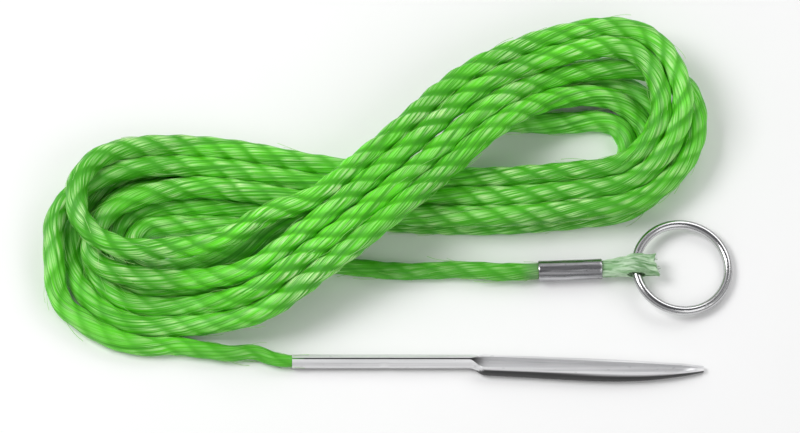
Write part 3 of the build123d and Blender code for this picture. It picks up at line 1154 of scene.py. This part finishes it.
@dataclass
class RingEnd:
    """Ferrule, rope eye and ring, in millimetres along the ferrule's axis.

    The eye's profiles are a place along the axis and the height or half width there.
    """

    ferrule_r: float = 2.6
    ferrule_wall: float = 0.5
    ferrule_length: float = 15.9
    ferrule_edge: float = 0.22
    ferrule_steps: int = 24
    ferrule_sides: int = 64
    ferrule_squeeze: float = 0.05
    ferrule_wave: float = 0.012
    ferrule_sharp: float = 40.0
    inner_edge: Plan = (0.1, 0.08)
    wire_d: float = 2.35
    ring_od: float = 25.6
    ring_tilt: float = 7.0
    ring_steps: int = 144
    wire_sides: int = 28
    wire_grain: Plan = (20.0, 3.0)
    wire_sharp: float = 60.0
    wire_spot: Plan = (24.3, 1.408)
    wire_play: float = 0.5
    parting: float = 0.6
    climb: float = 6.0
    eye_root: float = 12.9
    eye_end: float = 30.1
    eye_columns: int = 40
    eye_rows: int = 90
    eye_seed: int = 11
    eye_sharp: float = 50.0
    eye_top: Knots = (
        (12.9, 1.5), (15.9, 1.6), (19.5, 2.35), (22.4, 3.55), (24.3, 4.0), (26.2, 3.55), (28.4, 2.75),
        (30.1, 2.3),
    )
    eye_bottom: Knots = ((12.9, -1.5), (15.9, -1.6), (20.0, -1.5), (24.3, -1.3), (27.5, -0.4), (30.1, 0.5))
    eye_half_width: Knots = (
        (12.9, 1.95), (15.9, 2.05), (20.0, 2.3), (24.3, 2.5), (28.0, 2.75), (30.1, 3.05),
    )
    end_slant: float = 0.45
    end_hollow: float = 0.5
    jag_depth: float = 0.45
    jag_memory: float = 0.55
    loose_end: Plan = (2.4, 2.0)

    def placed(self, x: float, y: float, z: float) -> Vector:
        """Point in metres of a place along, across and above the ferrule's axis."""
        along, across = heading_vector(FERRULE_HEADING), heading_vector(FERRULE_HEADING + 90)
        return (Vector(FERRULE_MOUTH) + along * x + across * y + Vector((0, 0, z))) * MM

    def ferrule_profile(self) -> list[Plan]:
        """Return the closed section of the sleeve's wall, as places along the axis and radii."""
        edge, outer, length = self.ferrule_edge, self.ferrule_r, self.ferrule_length
        inner = outer - self.ferrule_wall
        inset, proud = self.inner_edge
        rim = [(0.0, inner + proud), (0.0, outer - edge), (edge * 0.3, outer - edge * 0.3), (edge, outer)]
        barrel = [(length * (step / self.ferrule_steps), outer) for step in range(1, self.ferrule_steps)]
        far_rim = [(length - x, r) for x, r in rim[::-1]]
        return rim + barrel + far_rim + [(length - inset, inner), (inset, inner)]

    def build_ferrule(self, material: Material) -> Piece:
        """Make the crimped sleeve, with a faint squeeze along it.

        Args:
            material: its material.

        Returns:
            The ferrule.
        """
        profile = self.ferrule_profile()
        vertices = []
        for x, r in profile:
            middle = 1 - (2 * x / self.ferrule_length - 1) ** 4
            for side in range(self.ferrule_sides):
                angle = math.tau * side / self.ferrule_sides
                squeeze = self.ferrule_squeeze * middle * (1 + math.cos(2 * angle)) / 2
                wave = self.ferrule_wave * math.sin(3 * angle + 0.9 * x)
                r_here = r - squeeze - self.ferrule_wave + wave
                vertices.append(self.placed(x, r_here * math.cos(angle), r_here * math.sin(angle)))
        faces = ring_faces(len(profile), self.ferrule_sides, closed=True)
        ferrule = shell_object("ferrule_sleeve", vertices, faces, material, self.ferrule_sharp)
        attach(ferrule, "rope")
        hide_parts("ferrule")
        return ferrule

    def build_ring(self, material: Material) -> Piece:
        """Make the ring of round wire, with the run of its wire stored for the finish.

        Args:
            material: its material.

        Returns:
            The ring.
        """
        radius = (self.ring_od - self.wire_d) / 2
        tilt = math.radians(self.ring_tilt)
        outward = Vector((math.cos(tilt), 0, -math.sin(tilt)))
        across = Vector((0, 1, 0))
        upward = outward.cross(across)
        centre = self.placed(self.wire_spot[0], 0, self.wire_spot[1]) + outward * radius * MM
        along_grain, round_grain = self.wire_grain
        vertices = []
        runs = []
        for step in range(self.ring_steps):
            angle = math.tau * step / self.ring_steps
            spoke = outward * math.cos(angle) + across * math.sin(angle)
            for side in range(self.wire_sides):
                round_wire = math.tau * side / self.wire_sides
                cosine, sine = math.cos(round_wire), math.sin(round_wire)
                reach = radius + self.wire_d / 2 * cosine
                vertices.append(centre + (spoke * reach + upward * (self.wire_d / 2 * sine)) * MM)
                runs.append((along_grain * angle, round_grain * cosine + math.cos(angle), round_grain * sine))
        faces = ring_faces(self.ring_steps, self.wire_sides, closed=True)
        ring = shell_object("wire_ring", vertices, faces, material, self.wire_sharp)
        store_on_points(ring, "wire", runs)
        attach(ring, "ring")
        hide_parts("ring")
        return ring

    def eye_faces_at(self, x: float, layer: Layer) -> Plan:
        """Find the heights of a layer's two faces: the layers meet, and part round the wire.

        Args:
            x: place along the axis.
            layer: which of the two layers.

        Returns:
            Heights of the outer and the inner face.
        """
        outer = smooth_through(self.eye_top if layer is Layer.UPPER else self.eye_bottom, x)[0]
        inner = self.wire_spot[1] * smoothstep((x - self.ferrule_length) / self.climb)
        hole = self.wire_d / 2 + self.wire_play
        off = abs(x - self.wire_spot[0])
        if off < hole + self.parting:
            inner += layer.value * hole * math.sqrt(max(1 - (off / (hole + self.parting)) ** 2, 0.0))
        return outer, inner

    def ragged_ends(self, chance: random.Random) -> list[float]:
        """Find where each column of a layer ends, on a slanted, hollow and ragged cut.

        Args:
            chance: source of the ragged end.

        Returns:
            Places along the axis.
        """
        ends = []
        jag = 0.0
        for column in range(self.eye_columns):
            share = 2 * column / (self.eye_columns - 1) - 1
            jag = self.jag_memory * jag + chance.uniform(-0.5, 0.5)
            straight = self.eye_end - self.end_slant - self.end_slant * share
            ends.append(straight - self.end_hollow * (1 - share * share) + self.jag_depth * jag)
        return ends

    def eye_layer_points(self, layer: Layer, chance: random.Random) -> tuple[list[Vector], list[Place]]:
        """Find the points of one layer of the eye, a closed band with a ragged end.

        Args:
            layer: which of the two layers.
            chance: source of the ragged end.

        Returns:
            Its points, in pairs of outer and inner, and their fibre coordinates.
        """
        ends = self.ragged_ends(chance)
        side = layer.value
        vertices = []
        fibres = []
        for row in range(self.eye_rows):
            along = row / (self.eye_rows - 1)
            for column, end in enumerate(ends):
                share = 2 * column / (self.eye_columns - 1) - 1
                x = self.eye_root + (end - self.eye_root) * along
                fold = 0.10 * math.sin(8.5 * share + 0.25 * x)
                fold += 0.05 * math.sin(17 * share - 0.4 * x + side)
                outer, inner = self.eye_faces_at(x, layer)
                round_edge = 1 - abs(share) ** 6
                outer = inner + (outer + side * fold - inner) * (0.35 + 0.65 * round_edge)
                y = smooth_through(self.eye_half_width, x)[0] * share + 0.05 * math.sin(2.1 * x + 3 * side)
                for height in (outer, inner):
                    vertices.append(self.placed(x, y, height))
                    fibres.append((5.0 * share + 0.25 * x + 3 * side, 0.30 * x, 0.5 * height))
        return vertices, fibres

    def band_faces(self, layer: Layer) -> list[Face]:
        """Find the faces of a band whose points come in pairs, outer and inner.

        Args:
            layer: which of the two layers.

        Returns:
            The faces, by point.
        """
        rows, columns = self.eye_rows, self.eye_columns
        faces = []

        def add(corners: tuple[tuple[int, int, int], ...], turned: bool) -> None:
            """Add a face by the row, column and side of its corners, turned round or not."""
            face = tuple((row * columns + column) * 2 + inner for row, column, inner in corners)
            faces.append(face[::-1] if turned else face)

        for row in range(rows - 1):
            after = row + 1
            for column in range(columns - 1):
                beside = column + 1
                for i in (0, 1):
                    add(((row, column, i), (after, column, i), (after, beside, i), (row, beside, i)), i == 1)
            for edge in (0, columns - 1):
                add(((row, edge, 0), (after, edge, 0), (after, edge, 1), (row, edge, 1)), edge == 0)
        for column in range(columns - 1):
            beside = column + 1
            for end in (0, rows - 1):
                add(((end, column, 0), (end, beside, 0), (end, beside, 1), (end, column, 1)), end > 0)
        return faces if layer is Layer.UPPER else [face[::-1] for face in faces]

    def mark_fray(self, eye: Piece) -> None:
        """Store where the band's fibres are loose, which is at its cut end, and which way they run.

        Args:
            eye: the band.
        """
        along = heading_vector(FERRULE_HEADING)
        before_end, width = self.loose_end
        fray = []
        for vertex in eye.data.vertices:
            reach = (vertex.co / MM - Vector(FERRULE_MOUTH)).dot(along)
            fray.append(smoothstep((reach - self.eye_end + before_end) / width))
        store_on_points(eye, "run", [tuple(along)] * len(fray))
        store_on_points(eye, "fray", fray)

    def build_eye(self, material: Material) -> Piece:
        """Make the flattened band that holds the ring.

        Args:
            material: its material.

        Returns:
            The band.
        """
        chance = random.Random(self.eye_seed)
        vertices: list[Vector] = []
        fibres: list[Place] = []
        faces: list[Face] = []
        for layer in Layer:
            points, runs = self.eye_layer_points(layer, chance)
            faces += [tuple(index + len(vertices) for index in face) for face in self.band_faces(layer)]
            vertices += points
            fibres += runs
        eye = shell_object("eye_band", vertices, faces, material, self.eye_sharp)
        store_on_points(eye, "fibre", fibres)
        self.mark_fray(eye)
        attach(eye, "rope")
        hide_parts("rope_eye")
        EYE_FIBRES.grow(eye, material)
        return eye


@dataclass
class Needle:
    """Sheet rolled to a tube, which opens into a folded blade, in millimetres from its mouth.

    The blade's stations are a share of its length, half its width, the height of its rim and its offset.
    """

    length: float = 102.3
    tube_od: float = 3.5
    tube_length: float = 44.0
    tube_flat: float = 0.4
    sheet: float = 0.6
    seam_gap: float = 0.35
    throat: float = 4.0
    fold_r: float = 1.4
    fold_share: float = 0.8
    crease_r: float = 0.3
    dent_at: float = 22.8
    dent_height: float = 2.3
    dent_spread: Plan = (1.1, 0.7)
    dent_depth: float = 0.25
    dent_sink: float = 0.4
    # Painted shade: the near side outside is painted dark below these heights, fading over an edge
    tube_clean: float = 1.1
    tarnish_share: float = 0.96
    tarnish_edge: Plan = (0.02, 0.12)
    off_table: float = 0.02
    sharp: float = 38.0
    wall_steps: int = 6
    fold_steps: int = 8
    floor_steps: int = 4
    tube_steps: int = 88
    throat_steps: int = 16
    blade_steps: int = 100
    blade: Knots = (
        (0.00, 2.45, 3.00, -1.15),
        (0.22, 2.55, 3.00, -1.75),
        (0.40, 2.65, 3.00, -2.25),
        (0.55, 2.65, 2.95, -2.60),
        (0.70, 2.40, 2.75, -2.70),
        (0.82, 1.95, 2.45, -2.55),
        (0.92, 1.40, 2.05, -2.20),
        (1.00, 0.65, 1.30, -1.80),
    )
    widest_half: float = 2.65
    lean: Knots = ((0.0, 1.0), (0.25, 1.2), (0.55, 1.4), (0.8, 1.1), (1.0, 0.3))
    filled_from: float = 0.90
    filled_over: float = 0.09
    least_half: float = 0.25
    least_lip: float = 0.05

    def half_chain(self, half: float, fold: float, floor: float, lip: Plan) -> list[Plan]:
        """Points of one half of a section, from its lip down the wall and along the floor.

        Args:
            half: half the width.
            fold: radius of the fold at the floor.
            floor: height of the floor.
            lip: end of the wall.

        Returns:
            The points across and above the section's middle.
        """
        foot = fold + floor
        points = []
        rise = lip[1] - foot
        lean = half - lip[0]
        for step in range(self.wall_steps):
            share = 1 - step / self.wall_steps
            if lean > 1e-6:
                radius = (lean * lean + rise * rise) / (2 * lean)
                angle = share * math.atan2(rise, radius - lean)
                points.append((half - radius + radius * math.cos(angle), foot + radius * math.sin(angle)))
            else:
                points.append((half, foot + rise * share))
        for step in range(self.fold_steps):
            angle = math.radians(90) * step / self.fold_steps
            points.append((half - fold + fold * math.cos(angle), foot - fold * math.sin(angle)))
        for step in range(self.floor_steps + 1):
            points.append(((half - fold) * (1 - step / self.floor_steps), floor))
        return points

    def chain(self, half: float, fold: float, floor: float, far_lip: Plan, near_lip: Plan) -> list[Plan]:
        """Points of one side of the sheet, from the far lip round to the near lip."""
        far, near = (self.half_chain(half, fold, floor, lip) for lip in (far_lip, near_lip))
        return far + [(-y, z) for y, z in near[-2::-1]]

    def tube_loop(self) -> list[Plan]:
        """Return the closed section of the rolled tube, as points across and above the table."""
        lip = self.seam_gap / 2
        half = self.tube_od / 2
        fold = (self.tube_od - self.tube_flat) / 2
        outer_lip = (lip, self.tube_od)
        inner_lip = (lip, self.tube_od - self.sheet)
        outer = self.chain(half, fold, 0.0, outer_lip, outer_lip)
        inner = self.chain(half - self.sheet, fold - self.sheet, self.sheet, inner_lip, inner_lip)
        return outer + inner[::-1]

    def blade_loop(self, share: float) -> list[Plan]:
        """Find the closed section of the open blade, which is filled up towards the point.

        Args:
            share: share of the blade's length.

        Returns:
            The points, across and above the table.
        """
        half, rim, offset = smooth_through(self.blade, share)
        fold = min(self.fold_r, self.fold_share * half)
        lean = smooth_through(self.lean, share)[0] * half / self.widest_half
        filled = smoothstep((share - self.filled_from) / self.filled_over)
        floor = self.sheet + (rim - self.least_lip - self.sheet) * filled
        inner_half = max(half - self.sheet, self.least_half)
        inner_fold = min(self.crease_r, inner_half, rim - floor)
        outer = self.chain(half, fold, 0.0, (half, rim), (half - lean, rim))
        near_inner = (inner_half - min(lean, inner_half - self.least_lip), rim)
        inner = self.chain(inner_half, inner_fold, floor, (inner_half, rim), near_inner)
        return [(y + offset, z) for y, z in outer + inner[::-1]]

    def dented(self, along: float, y: float, z: float) -> Plan:
        """Press a point of the tube's section in at the crimp.

        Args:
            along: its distance from the mouth.
            y: its place across.
            z: its height.

        Returns:
            Its new place across and height.
        """
        reach, spread = self.dent_spread
        near = math.exp(-(((along - self.dent_at) / reach) ** 2))
        side = math.exp(-(((z - self.dent_height) / spread) ** 2)) if y < 0 else 0.0
        return y + self.dent_depth * near * side, z - self.dent_sink * self.dent_depth * near * side

    def stations(self) -> list[tuple[float, list[Plan]]]:
        """Return places along the needle and the closed section at each."""
        tube = self.tube_loop()
        blade_length = self.length - self.tube_length - self.throat
        rows = []
        for step in range(self.tube_steps + 1):
            along = self.tube_length * step / self.tube_steps
            rows.append((along, [self.dented(along, y, z) for y, z in tube]))
        first = self.blade_loop(0.0)
        for step in range(1, self.throat_steps):
            share = step / self.throat_steps
            weight = smoothstep(share)
            pairs = zip(tube, first)
            loop = [(y + (v - y) * weight, z + (w - z) * weight) for (y, z), (v, w) in pairs]
            rows.append((self.tube_length + share * self.throat, loop))
        for step in range(self.blade_steps + 1):
            share = step / self.blade_steps
            rows.append((self.length - blade_length * (1 - share), self.blade_loop(share)))
        return rows

    def tarnish(self, along: float, height: float) -> float:
        """Find the painted shade on the near side outside: below the rim of the blade, and low on the tube.

        Args:
            along: distance from the mouth.
            height: height above the table.

        Returns:
            The share of painted shade.
        """
        share = (along - self.tube_length - self.throat) / (self.length - self.tube_length - self.throat)
        opened = smoothstep((along - self.tube_length) / self.throat)
        rim = smooth_through(self.blade, share)[1]
        shade_top = self.tube_clean + (rim - self.tube_clean) * opened
        below, width = self.tarnish_edge
        return self.tarnish_share * smoothstep((shade_top - below - height) / width)

    def grime(self, rows: list[tuple[float, list[Plan]]]) -> list[float]:
        """Find the painted shade on each point: none on the far side, low on the near side outside and all
        over the bore.

        Args:
            rows: places along the needle and the section at each.

        Returns:
            The shares of painted shade.
        """
        near = self.wall_steps + self.fold_steps + 2 * self.floor_steps
        grime = []
        for along, loop in rows:
            half = len(loop) // 2
            # painted shade in the bore, fading out through the throat, and low on the near side outside
            bore = 1 - smoothstep((along - self.tube_length) / self.throat)
            grime += [0.0] * near
            grime += [self.tarnish(along, height) for _, height in loop[near:half]]
            grime += [bore] * (len(loop) - half)
        return grime

    def build(self, material: Material) -> Piece:
        """Make the needle.

        Args:
            material: its material.

        Returns:
            The needle.
        """
        rows = self.stations()
        sides = len(rows[0][1])
        vertices = []
        for along, loop in rows:
            for y, z in loop:
                spot = (NEEDLE_MOUTH[0] + along, NEEDLE_MOUTH[1] + y, max(z, self.off_table))
                vertices.append(Vector(spot) * MM)
        faces = [face[::-1] for face in ring_faces(len(rows), sides, closed=False)]
        last = (len(rows) - 1) * sides
        for side in range(sides // 2 - 1):
            back = sides - 1 - side
            faces.append((side, side + 1, back - 1, back))
            faces.append((last + back, last + back - 1, last + side + 1, last + side))
        needle = shell_object("rolled_needle", vertices, faces, material, self.sharp)
        # painted shade on the near side outside and in the bore, for the finish
        store_on_points(needle, "grime", self.grime(rows))
        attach(needle, "rope")
        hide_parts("needle")
        return needle


class Lamp(NamedTuple):
    """A soft rectangular lamp: its name, its place, its width and height, and its power in watts."""

    name: str
    place: Place
    size: Plan
    power: float


@dataclass(frozen=True)
class Studio:
    """Pale floor, soft lamps and the camera at the photograph's angle."""

    target: Place = (0.0029, -0.0023, 0.0)
    elevation: float = 67.0
    distance: float = 3.0
    field_width: float = 0.200
    sensor_width: float = 36.0
    floor_half: float = 3.0
    floor_colour: Colour = (0.97, 0.97, 0.97, 1.0)
    floor_mottle: float = 0.985
    sky_low: Colour = (0.26, 0.26, 0.27, 1.0)
    sky_high: Colour = (1.0, 1.0, 1.0, 1.0)
    sky_crown: Colour = (0.22, 0.22, 0.23, 1.0)
    sky_strength: float = 0.58
    lamps: tuple[Lamp, ...] = (
        Lamp("key", (-0.46, 0.10, 0.66), (0.40, 0.40), 3.6),
        Lamp("back", (0.40, 0.55, 0.60), (0.60, 0.40), 1.5),
        Lamp("fill", (0.45, -0.45, 0.62), (0.60, 0.50), 1.0),
    )

    def build_floor(self) -> None:
        """Lay the floor with a barely mottled pale finish."""
        half = self.floor_half
        corners = [(-half, -half, 0), (half, -half, 0), (half, half, 0), (-half, half, 0)]
        mesh = bpy.data.meshes.new("floor")
        mesh.from_pydata(corners, [], [(0, 1, 2, 3)])
        made = Surface("pale_floor")
        shade = tuple(self.floor_mottle * channel for channel in self.floor_colour[:3]) + (1.0,)
        colour = made.mixed(made.noise(made.place(), 60.0), shade, self.floor_colour)
        made.set(Base_Color=colour, Roughness=0.9, Specular_IOR_Level=0.0)
        mesh.materials.append(made.material)
        new_object("floor", mesh)

    def hang(self, lamp: Lamp) -> None:
        """Hang a lamp that faces the target.

        Args:
            lamp: the lamp.
        """
        light = bpy.data.lights.new(lamp.name, "AREA")
        light.shape = "RECTANGLE"
        light.size, light.size_y = lamp.size
        light.energy = lamp.power
        hung = new_object(lamp.name, light)
        hung.location = lamp.place
        hung.rotation_euler = (Vector(self.target) - Vector(lamp.place)).to_track_quat("-Z", "Y").to_euler()

    def build_light(self) -> None:
        """Set a sky that is bright at half height, dim at the horizon and overhead, and hang the lamps."""
        world = bpy.data.worlds.new("studio")
        world.use_nodes = True
        bench = NodeBench(world.node_tree)
        height = bench.split(bench.add("ShaderNodeTexCoord")["Generated"])[2]
        sky = bench.mixed(bench.ranged(height, 0.0, 0.40), self.sky_low, self.sky_high)
        sky = bench.mixed(bench.ranged(height, 0.76, 0.92), sky, self.sky_crown)
        background = world.node_tree.nodes["Background"].inputs
        bench.put(background["Color"], sky)
        bench.put(background["Strength"], self.sky_strength)
        bpy.context.scene.world = world
        for lamp in self.lamps:
            self.hang(lamp)

    def build_camera(self) -> None:
        """Set up the camera."""
        lens = bpy.data.cameras.new("camera")
        lens.sensor_width = self.sensor_width
        lens.lens = self.sensor_width * self.distance / self.field_width
        lens.clip_start = 0.01
        camera = new_object("camera", lens)
        tilt = math.radians(self.elevation)
        back = Vector((0, -math.cos(tilt), math.sin(tilt)))
        camera.location = Vector(self.target) + back * self.distance
        camera.rotation_euler = (math.radians(90) - tilt, 0, 0)
        bpy.context.scene.camera = camera

    def build(self) -> None:
        """Make the floor, the light and the camera."""
        self.build_floor()
        self.build_light()
        self.build_camera()
        bpy.context.scene.view_settings.view_transform = "Standard"


def main() -> None:
    """Build every piece in order and report it."""
    logging.basicConfig(level=logging.INFO, format="%(message)s")
    effects = SharedEffects.build()
    Studio().build()
    needle = Needle().build(NEEDLE_FINISH.build(effects))
    Rope().build(RopeFinish().build(effects), LOOSE_FINISH.build(effects), needle)
    ring_end = RingEnd()
    ring_end.build_ferrule(FERRULE_FINISH.build(effects))
    ring_end.build_eye(EyeFinish().build(effects))
    ring_end.build_ring(RING_FINISH.build(effects))


if __name__ == "__main__":
    main()
